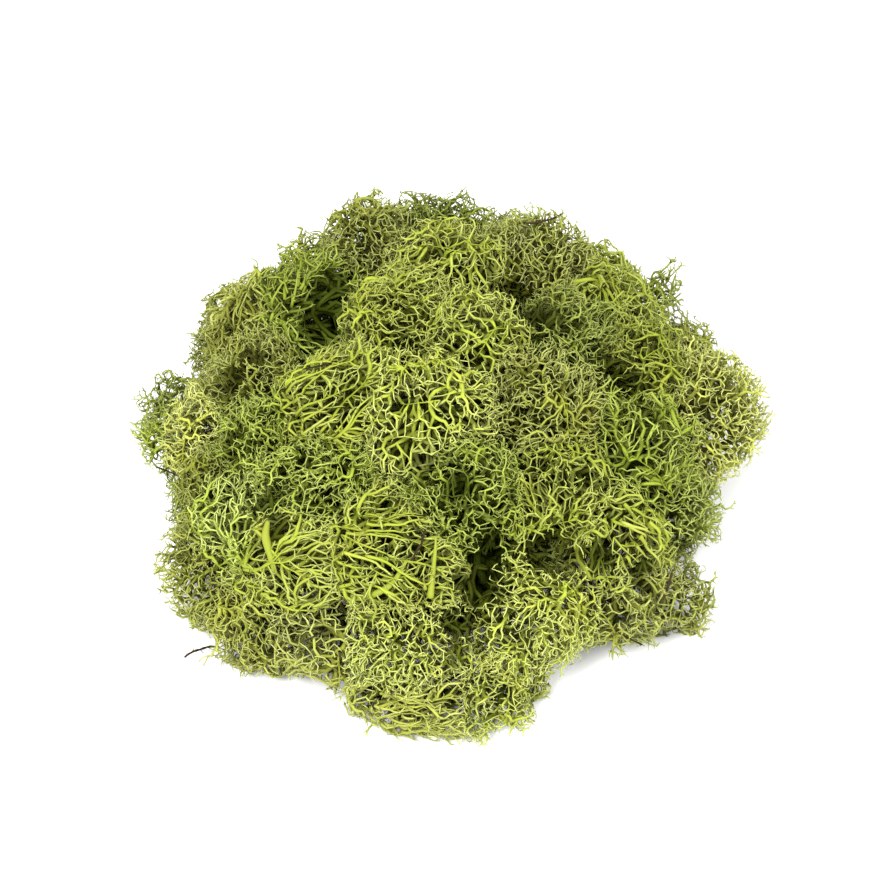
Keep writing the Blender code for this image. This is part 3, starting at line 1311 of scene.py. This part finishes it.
    def knit(self) -> None:
        """Ends some of the inner tips against a neighbouring strand, which closes loops in the net."""
        self.joined = np.full(len(self.places), -1)
        leads = np.zeros(len(self.places), bool)
        leads[self.parents[self.parents >= 0]] = True
        near = KDTree(len(self.places))
        for index, place in enumerate(self.places.tolist()):
            near.insert(place, index)
        near.balance()
        ends = np.flatnonzero(~leads & (self.parents >= 0) & (self.local > self.KNIT_FROM))
        picked = ends[self.rng.random(len(ends)) < self.rule.knit]
        for end in picked.tolist():
            parent = int(self.parents[end])
            for _, other, _ in near.find_n(self.places[end].tolist(), self.KNIT_CHOICES):
                if not leads[other] or other == parent or self.parents[other] == parent:
                    continue
                reach = np.linalg.norm(self.places[other] - self.places[parent])
                if reach < self._zoned(self.local[end], self.rule.steps) * self.KNIT_REACH:
                    self.joined[end] = other
                    break
        tied = np.flatnonzero(self.joined >= 0)
        self.places[tied] = self.places[self.joined[tied]]

    def tips_below(self) -> Array:
        """How many strand tips each point feeds.

        Returns:
            One count for each point, 1 at a tip.
        """
        fed = np.zeros(len(self.places))
        has_child = np.zeros(len(self.places), bool)
        has_child[self.parents[self.parents >= 0]] = True
        fed[~has_child] = 1.0
        for batch in reversed(self.batches):
            grown = batch[self.parents[batch] >= 0]
            np.add.at(fed, self.parents[grown], fed[grown])
        return fed


# ------------------------------------------------------------------------------------------- tubes


@dataclass
class Strands:
    """Strand centrelines gathered from a thicket and made into tapered tubes."""

    thicket: Thicket
    vertices: list[Array] = field(default_factory=list)
    # The deep attribute carries painted shade.
    attributes: dict[str, list[Array]] = field(default_factory=lambda: {"tip": [], "deep": [], "tone": []})
    faces: list[Array] = field(default_factory=list)
    # Painted shade for every point, from Thicket.shades.
    shades: Array = field(init=False)
    total: int = 0

    FLARE = 1.18
    DEEP_SWELL = 2.0
    SWELL_OVER = 2.5
    STOUTEST = 0.72
    SWELL = 1.2
    ROUND_SWELL = 1.05
    TABLE_GAP = 0.05
    OLDEST = 5.5
    SIDES = ((3, 0.0, 0.42), (5, 0.42, 0.75), (6, 0.75, 99.0))
    MAIN_LINE = 1e6
    PRONG_BELOW = 2.0
    PRONG_SHARE = 0.7
    PRONG_LENGTHS = (0.5, 1.0)
    PRONG_ANGLE = 48.0
    STALK_RINGS = 20
    STALK_SIDES = 10
    TONE_SPREAD = 0.35

    def chains(self, fed: Array) -> list[list[int]]:
        """Splits the tree into unbroken strands, each from a fork to a tip.

        Args:
            fed: How many tips each point feeds.

        Returns:
            For each strand, its points' indices in order, the fork that it leaves first.
        """
        parents = self.thicket.parents
        heir = np.full(len(parents), -1)
        order = np.argsort(fed + self.thicket.stout * self.MAIN_LINE, kind="stable")
        grown = order[parents[order] >= 0]
        heir[parents[grown]] = grown
        follows = heir.tolist()
        leads = np.flatnonzero((parents < 0) | (heir[np.maximum(parents, 0)] != np.arange(len(parents))))
        found = []
        for lead in leads.tolist():
            start = int(parents[lead])
            chain = [start, lead] if start >= 0 else [lead]
            point = follows[lead]
            while point >= 0:
                chain.append(point)
                point = follows[point]
            if len(chain) > 1:
                found.append(chain)
        return found

    def build(self) -> None:
        """Makes tubes of all the strands, with more sides on the thick ones."""
        thicket, rule = self.thicket, self.thicket.rule
        fed = thicket.tips_below()
        radii = np.minimum(rule.tip_radius * fed**rule.thickening, rule.most_radius)
        forks = np.bincount(thicket.parents[thicket.parents >= 0], minlength=len(radii)) > 1
        radii[forks] *= self.FLARE
        buried = np.clip((thicket.local - thicket.SHELL) / self.SWELL_OVER, 0.0, 1.0)
        radii *= 1.0 + self.DEEP_SWELL * buried
        coarse = thicket.plan.habit is Habit.BED
        radii = np.minimum(radii, rule.most_radius * 2 if coarse else self.STOUTEST)
        radii = np.where(thicket.stout > 0, thicket.stout, radii)
        # Painted shade, which the lichen finish turns into darker colour.
        self.shades = thicket.shades()
        rng = np.random.default_rng(thicket.seed + 77)
        chains = self.chains(fed)
        tones = self._tones(len(chains), rng)
        thick = np.array([radii[chain[1]] for chain in chains])
        tied = np.array([thicket.joined[chain[-1]] >= 0 for chain in chains])
        for sides, low, high in self.SIDES:
            for ends_tied in (False, True):
                picked = np.flatnonzero((thick >= low) & (thick < high) & (tied == ends_tied))
                if len(picked):
                    self._tubes([chains[k] for k in picked], tones[picked], radii, fed, sides, ends_tied)
        self._prongs(fed, radii, rng)

    def _tones(self, count: int, rng: np.random.Generator) -> Array:
        """Random tones around the tuft's own."""
        return np.clip(self.thicket.plan.tone + (rng.random(count) - 0.5) * self.TONE_SPREAD, 0.0, 1.0)

    def _add(self, vertices: Array, faces: list[Array], shades: dict[str, Array]) -> None:
        """Adds one lot of tubes to the mesh.

        Args:
            vertices: Their corners, which are kept above the table.
            faces: Groups of faces, each with as many corners as the others of its group.
            shades: The value of each attribute at every corner.
        """
        vertices[:, 2] = np.maximum(vertices[:, 2], self.TABLE_GAP)
        self.faces += [face + self.total for face in faces]
        for name, values in shades.items():
            self.attributes[name].append(values)
        self.vertices.append(vertices)
        self.total += len(vertices)

    def _prongs(self, fed: Array, radii: Array, rng: np.random.Generator) -> None:
        """Splits the outermost tips with short side prongs.

        Args:
            fed: How many tips every point feeds.
            radii: Every point's radius.
            rng: The source of chance.
        """
        thicket = self.thicket
        free = (fed == 1) & (thicket.parents >= 0) & (thicket.joined < 0)
        tips = np.flatnonzero(free & (thicket.local < self.PRONG_BELOW))
        tips = tips[rng.random(len(tips)) < self.PRONG_SHARE]
        if not len(tips):
            return
        roots = thicket.places[thicket.parents[tips]]
        spans = thicket.places[tips] - roots
        base = roots + spans * rng.uniform(0.3, 0.7, (len(tips), 1))
        along = unit(spans)
        side = sideways(along, rng)
        angle = np.radians(rng.normal(self.PRONG_ANGLE, 10.0, (len(tips), 1)))
        way = along * np.cos(angle) + side * np.sin(angle)
        apex = base + way * rng.uniform(*self.PRONG_LENGTHS, (len(tips), 1))
        across = unit(np.cross(way, side + along * 0.3))
        ring = rings(base, way, across, radii[tips] * self.SWELL * 0.9, 3)
        corners = np.arange(len(tips))[:, None] * 3 + np.arange(3)
        points_at = len(tips) * 3 + np.repeat(np.arange(len(tips)), 3).reshape(-1, 3)
        # Prongs take their tip's painted shade.
        values = {"tip": np.ones(len(tips)), "deep": self.shades[tips], "tone": self._tones(len(tips), rng)}
        self._add(
            np.concatenate([ring.reshape(-1, 3), apex]),
            [cones(corners, points_at), corners[:, ::-1]],
            {name: np.concatenate([np.repeat(value, 3), value]) for name, value in values.items()},
        )

    def _tubes(
        self, chains: list[list[int]], tones: Array, radii: Array, fed: Array, sides: int, tied: bool
    ) -> None:
        """Makes tubes with the same number of sides.

        Args:
            chains: The strands' points.
            tones: One random tone for each strand.
            radii: Every point's radius.
            fed: How many tips every point feeds.
            sides: Sides to a tube.
            tied: Whether the strands end against a neighbour, and not in a point.
        """
        thicket = self.thicket
        lengths = np.array([len(chain) for chain in chains])
        points = np.concatenate([np.array(chain) for chain in chains])
        starts = np.concatenate([[0], np.cumsum(lengths)[:-1]])
        ends = starts + lengths - 1
        place = thicket.places[points]
        radius = radii[points].copy()
        radius[starts] = np.minimum(radii[points[starts]] * 0.9, radii[points[starts + 1]] * 1.35)
        before = np.maximum(np.arange(len(points)) - 1, np.repeat(starts, lengths))
        after = np.minimum(np.arange(len(points)) + 1, np.repeat(ends, lengths))
        along = unit(place[after] - place[before])
        whole = unit(place[ends] - place[starts] + 1e-6)
        helper = np.eye(3)[np.argmin(np.abs(whole), axis=1)]
        helper = np.repeat(helper, lengths, axis=0)
        across = unit(helper - along * (helper * along).sum(axis=1, keepdims=True))
        is_end = np.zeros(len(points), bool)
        is_end[ends] = True
        ringed = np.arange(len(points)) if tied else np.flatnonzero(~is_end)
        swell = self.SWELL if sides == 3 else self.ROUND_SWELL
        corners = rings(place[ringed], along[ringed], across[ringed], radius[ringed] * swell, sides)
        first = np.zeros(len(points), int)
        first[ringed] = np.arange(len(ringed)) * sides
        around = np.arange(sides)
        joined = ringed[~is_end[ringed]] if tied else ringed[~is_end[ringed + 1]]
        quads = walls(first[joined][:, None] + around, first[joined + 1][:, None] + around)
        made = [quads, (first[starts][:, None] + around)[:, ::-1]]
        if tied:
            made.append(first[ends][:, None] + around)
        else:
            points_at = len(ringed) * sides + np.repeat(np.arange(len(ends)), sides).reshape(-1, sides)
            made.append(cones(first[ends - 1][:, None] + around, points_at))
        age = np.clip(1.0 - np.log(fed[points]) / self.OLDEST, 0.0, 1.0)
        # deep: each point's painted shade.
        values = {"tip": age, "deep": self.shades[points], "tone": np.repeat(tones, lengths)}
        pointed = np.zeros(0, int) if tied else ends
        shades = {
            name: np.concatenate([np.repeat(value[ringed], sides), value[pointed]])
            for name, value in values.items()
        }
        self._add(np.concatenate([corners.reshape(-1, 3), place[pointed]]), made, shades)

    def add_stalk(self, stalk: Stalk) -> None:
        """Adds a stout stem.

        Args:
            stalk: Its points and radii.
        """
        rows = np.concatenate([np.array(stalk.points), np.array(stalk.radii)[:, None]], axis=1)
        rows = smooth_path(rows, self.STALK_RINGS)
        rows[:, 3] *= 1.0 + 0.08 * ripple(rows[:, :3], 3.0, self.thicket.seed)
        vertices, quads, triangles = sweep(rows[:, :3], rows[:, 3], self.STALK_SIDES)
        # Stalks get a little painted shade.
        values = {"tip": 0.5, "deep": 0.08, "tone": self.thicket.plan.tone * 0.75}
        shades = {name: np.full(len(vertices), value) for name, value in values.items()}
        self._add(vertices, [quads, triangles], shades)

    def mesh(self, name: str) -> bpy.types.Mesh:
        """Turns the tubes into one mesh with a map for baking.

        Args:
            name: The mesh's name.

        Returns:
            The mesh, in metres.
        """
        mesh = bpy.data.meshes.new(name)
        vertices = np.concatenate(self.vertices) * MM
        mesh.vertices.add(len(vertices))
        mesh.vertices.foreach_set("co", vertices.astype(np.float32).ravel())
        sizes = np.concatenate([np.full(len(face), face.shape[1]) for face in self.faces])
        loops = np.concatenate([face.ravel() for face in self.faces])
        mesh.loops.add(len(loops))
        mesh.loops.foreach_set("vertex_index", loops.astype(np.int32))
        mesh.polygons.add(len(sizes))
        begins = np.concatenate([[0], np.cumsum(sizes)[:-1]])
        mesh.polygons.foreach_set("loop_start", begins.astype(np.int32))
        mesh.polygons.foreach_set("loop_total", sizes.astype(np.int32))
        mesh.update(calc_edges=True)
        mesh.shade_smooth()
        for key, parts in self.attributes.items():
            layer = mesh.attributes.new(key, "FLOAT", "POINT")
            layer.data.foreach_set("value", np.concatenate(parts).astype(np.float32))
        self._bake_map(mesh, sizes, begins)
        return mesh

    @staticmethod
    def _bake_map(mesh: bpy.types.Mesh, sizes: Array, begins: Array) -> None:
        """Lays every face out in a cell of its own.

        Args:
            mesh: The mesh.
            sizes: Corners to each face.
            begins: Each face's first corner.
        """
        columns = int(math.ceil(math.sqrt(len(sizes))))
        cell = np.arange(len(sizes))
        left, low = (cell % columns) / columns, (cell // columns) / columns
        places = np.zeros((int(sizes.sum()), 2))
        for corners in np.unique(sizes):
            picked = np.flatnonzero(sizes == corners)
            turn = (np.arange(corners) + 0.5) * 2 * math.pi / corners
            spread = 0.5 + 0.68 * np.stack([np.cos(turn), np.sin(turn)], axis=1)
            spread = np.clip(spread, 0.03, 0.97) / columns
            corner = begins[picked][:, None] + np.arange(corners)
            places[corner] = np.stack([left[picked], low[picked]], axis=1)[:, None] + spread
        layer = mesh.uv_layers.new(name="OFBake")
        layer.uv.foreach_set("vector", places.astype(np.float32).ravel())

    @property
    def triangles(self) -> int:
        """How many triangles the tubes come to."""
        return int(sum((face.shape[1] - 2) * len(face) for face in self.faces))


# -------------------------------------------------------------------------------------------- heap


@dataclass
class Heap:
    """All the tufts, which together make the mound."""

    frame: dict[str, Any]
    finishes: dict[str, bpy.types.Material]
    envelopes: dict[str, Envelope] = field(init=False)
    triangles: int = 0

    UNSEEN = 16.0
    RAYS = 14
    RAY_LENGTH = 0.25
    LOWEST_RAY = -0.15
    OPEN_SHARE = 0.35
    FOOT_HEIGHT = 6.0

    def __post_init__(self) -> None:
        """Reads each tuft's room and works out which of its sides can be seen."""
        nodes = self.frame["nodes"]
        self.envelopes = {name: Envelope(nodes[name]) for name in PLANS}
        self._look_around()

    @property
    def slots(self) -> dict[str, str]:
        """Each node's material slot in the record."""
        return {part["node"]: part["material_slot"] for part in self.frame["record"]["subparts"]}

    def _look_around(self) -> None:
        """Marks the faces of each room that light and eyes can't reach."""
        corners: list[Vector] = []
        faces: list[list[int]] = []
        for envelope in self.envelopes.values():
            start = len(corners)
            corners += [vert.co.copy() for vert in envelope.node.data.vertices]
            faces += [[start + index for index in face.vertices] for face in envelope.node.data.polygons]
        tree = BVHTree.FromPolygons(corners, faces)
        rng = np.random.default_rng(3)
        fan = unit(rng.normal(size=(self.RAYS, 3)))
        for envelope in self.envelopes.values():
            seen = np.zeros(len(envelope.offsets))
            for index, (middle, normal) in enumerate(zip(envelope.middles, envelope.normals)):
                origin = Vector((middle + normal * 0.5) * MM)
                ways = unit(fan + normal * 1.15)
                rays = [Vector(way) for way in ways if way[2] >= self.LOWEST_RAY]
                free = sum(tree.ray_cast(origin, ray, self.RAY_LENGTH)[0] is None for ray in rays)
                seen[index] = free / len(ways)
            envelope.hidden = 1.0 - np.clip(seen / self.OPEN_SHARE, 0.0, 1.0)

    def _heart(self) -> Array:
        """The point that the tufts grow away from.

        Returns:
            The middle of the heap, near the table.
        """
        low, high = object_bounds()
        middle = (np.array(low) + np.array(high)) / 2 / MM
        middle[2] = self.FOOT_HEIGHT
        return middle

    def _litter(self, name: str) -> Array:
        """Points on the needles and twigs that lie on or near a tuft.

        Args:
            name: The tuft's node.

        Returns:
            The points, in millimetres.
        """
        low, high = self.envelopes[name].box(Thicket.MARGIN)
        nodes = self.frame["nodes"]
        sticks = [nodes[key] for key in nodes if key in self.slots and key not in PLANS]
        points = np.array([vert.co for node in sticks for vert in node.data.vertices]) / MM
        return points[((points > low) & (points < high)).all(axis=1)]

    def _neighbours(self, name: str) -> list[Envelope]:
        """The rooms that come near a tuft's own.

        Args:
            name: The tuft's node.

        Returns:
            The rooms, in the order of their tufts.
        """
        low, high = self.envelopes[name].box(Thicket.MARGIN)
        others = [(room, *room.box()) for key, room in self.envelopes.items() if key != name]
        return [room for room, least, most in others if (least < high).all() and (most > low).all()]

    def build(self) -> None:
        """Grows every tuft and puts it in its node's place."""
        heart = self._heart()
        for number, (name, plan) in enumerate(PLANS.items()):
            rooms = self.envelopes[name], self._neighbours(name)
            thicket = Thicket(*rooms, RULES[plan.habit], plan, heart, 1000 + number * 31, self._litter(name))
            thicket.grow()
            thicket.straggle()
            thicket.knit()
            strands = Strands(thicket)
            strands.build()
            for stalk in STALKS.get(name, ()):
                strands.add_stalk(stalk)
            piece = bpy.data.objects.new(f"{name}_strands", strands.mesh(name))
            bpy.context.scene.collection.objects.link(piece)
            slot = self.slots[name]
            piece.data.materials.append(self.finishes[slot])
            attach(piece, BODY)
            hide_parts(name)
            self.triangles += strands.triangles
            LOG.info("%s: %d points, %d triangles", name, len(thicket.places), strands.triangles)
        LOG.info("heap: %d triangles", self.triangles)


@dataclass
class Stick:
    """A dead needle or a twig, drawn along the line of its CAD solid."""

    node: bpy.types.Object
    slot: str
    seed: int

    RINGS = 7
    STATIONS = 26
    SIDES = 8
    SPURS = 3
    SPUR_LENGTH = (1.2, 2.2)
    SPUR_TAPER = (0.55, 0.15)
    SPUR_RINGS = 5
    SPUR_SIDES = 5
    LOWEST = 0.02

    @property
    def is_twig(self) -> bool:
        """Whether it is a twig and not a needle."""
        return self.slot == "twig_bark"

    def _line(self) -> Array:
        """Finds the rings of the CAD solid and their order along it.

        Returns:
            Rows of a point and a radius, in millimetres.
        """
        corners = np.array([vert.co for vert in self.node.data.vertices]) / MM
        corners = np.unique(np.round(corners, 3), axis=0)
        middle = corners.mean(axis=0)
        axis = np.linalg.svd(corners - middle)[2][0]
        run = (corners - middle) @ axis
        order = np.argsort(run)
        breaks = np.sort(np.argsort(np.diff(run[order]))[-(self.RINGS - 1) :]) + 1
        rings = [corners[ring] for ring in np.split(order, breaks)]
        centres = np.array([ring.mean(axis=0) for ring in rings])
        widths = [np.linalg.norm(ring - centre, axis=1).mean() for ring, centre in zip(rings, centres)]
        return np.concatenate([centres, np.array(widths)[:, None]], axis=1)

    def _shape(self) -> tuple[Array, list[Array]]:
        """Shapes the stick, with spurs if it is a twig.

        Returns:
            Its vertices, and its faces in groups.
        """
        rng = np.random.default_rng(self.seed)
        rows = smooth_path(self._line(), self.STATIONS)
        run = np.linspace(0, 1, len(rows))
        if self.is_twig:
            rows[:, 3] *= 0.85 + 0.22 * ripple(rows[:, :3], 2.2, self.seed) * np.sin(np.pi * run)
            rows[:, :3] += 0.16 * swirl(rows[:, :3], 3.4, self.seed)
        else:
            rows[:, 3] *= 0.8 * np.clip(np.sin(np.pi * (0.06 + 0.94 * run)) * 2.2, 0.12, 1.0)
        vertices, quads, triangles = sweep(rows[:, :3], rows[:, 3], self.SIDES)
        parts, faces = [vertices], [quads, triangles]
        total = len(vertices)
        for spur in range(self.SPURS if self.is_twig else 0):
            root = rows[int(len(rows) * (0.25 + 0.22 * spur))]
            along = unit(rows[-1, :3] - rows[0, :3])
            way = unit(along + unit(rng.normal(size=3)) * 0.9)
            length = rng.uniform(*self.SPUR_LENGTH)
            line = root[:3] + way * np.linspace(0, length, self.SPUR_RINGS)[:, None]
            line[:, 2] = np.maximum(line[:, 2], 0.3)
            radii = root[3] * np.linspace(*self.SPUR_TAPER, self.SPUR_RINGS)
            vertices, quads, triangles = sweep(line, radii, self.SPUR_SIDES)
            parts.append(vertices)
            faces += [quads + total, triangles + total]
            total += len(vertices)
        return np.concatenate(parts), faces

    def build(self, finish: bpy.types.Material) -> None:
        """Makes the stick and puts it in its node's place.

        Args:
            finish: Its material.
        """
        vertices, faces = self._shape()
        vertices[:, 2] = np.maximum(vertices[:, 2], self.LOWEST)
        mesh = bpy.data.meshes.new(f"{self.node.name}_wood")
        listed = [face.tolist() for group in faces for face in group]
        mesh.from_pydata((vertices * MM).tolist(), [], listed)
        mesh.shade_smooth()
        mesh.materials.append(finish)
        piece = bpy.data.objects.new(f"{self.node.name}_wood", mesh)
        bpy.context.scene.collection.objects.link(piece)
        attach(piece, BODY)
        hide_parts(self.node.name)
        LOG.info("%s: %d faces", piece.name, len(listed))


# ------------------------------------------------------------------------------------------ studio


@dataclass(frozen=True)
class Studio:
    """The table, the lights and the camera."""

    view_height: float = 50.0
    lens: float = 100.0
    distance: float = 0.77
    aim: Point = (-0.0022, -0.0012, 0.0263)
    table_side: float = 6.0
    sky: float = 0.77

    def build(self) -> None:
        """Sets the table, the lights and the camera."""
        self._table()
        self._lights()
        self._camera()

    def _table(self) -> None:
        """Makes the table top."""
        bpy.ops.mesh.primitive_plane_add(size=self.table_side, location=(0.0, 0.0, 0.0))
        table = bpy.context.object
        table.name = "table"
        table.data.materials.append(TableFinish().make())
        table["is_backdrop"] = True

    def _lights(self) -> None:
        """Makes the sky and the two softboxes."""
        world = bpy.data.worlds.new("studio")
        bpy.context.scene.world = world
        world.use_nodes = True
        sky = world.node_tree.nodes["Background"]
        sky.inputs["Color"].default_value = (1.0, 1.0, 1.0, 1.0)
        sky.inputs["Strength"].default_value = self.sky
        self._softbox("key", (-0.35, -0.7, 1.2), 0.45, 25.5)
        self._softbox("fill", (0.6, -0.5, 1.0), 0.6, 10.0)

    def _softbox(self, name: str, place: Point, size: float, power: float) -> None:
        """Adds a square light that faces the heap.

        Args:
            name: The light's name.
            place: Where it hangs.
            size: Its side.
            power: Its power in watts.
        """
        light = bpy.data.lights.new(name, "AREA")
        light.size = size
        light.energy = power
        lamp = bpy.data.objects.new(name, light)
        lamp.location = place
        lamp.rotation_euler = (Vector(self.aim) - Vector(place)).to_track_quat("-Z", "Y").to_euler()
        bpy.context.scene.collection.objects.link(lamp)

    def _camera(self) -> None:
        """Places the camera above the near side."""
        tilt = math.radians(self.view_height)
        back = Vector((0.0, -math.cos(tilt), math.sin(tilt)))
        camera = bpy.data.cameras.new("camera")
        camera.lens = self.lens
        camera.clip_start = 0.01
        holder = bpy.data.objects.new("camera", camera)
        holder.location = Vector(self.aim) + back * self.distance
        holder.rotation_euler = (-back).to_track_quat("-Z", "Y").to_euler()
        bpy.context.scene.collection.objects.link(holder)
        bpy.context.scene.camera = holder


def main() -> None:
    """Builds the heap and its setting."""
    logging.basicConfig(level=logging.INFO, format="%(message)s")
    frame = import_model()
    finishes = {finish.slot: finish.make() for finish in (*LICHENS, *WOODS)}
    heap = Heap(frame, finishes)
    heap.build()
    for number, (name, slot) in enumerate(sorted(heap.slots.items())):
        if name not in PLANS:
            Stick(frame["nodes"][name], slot, 500 + number).build(finishes[slot])
    Studio().build()
    bpy.context.scene.view_settings.view_transform = "Standard"


if __name__ == "__main__":
    main()
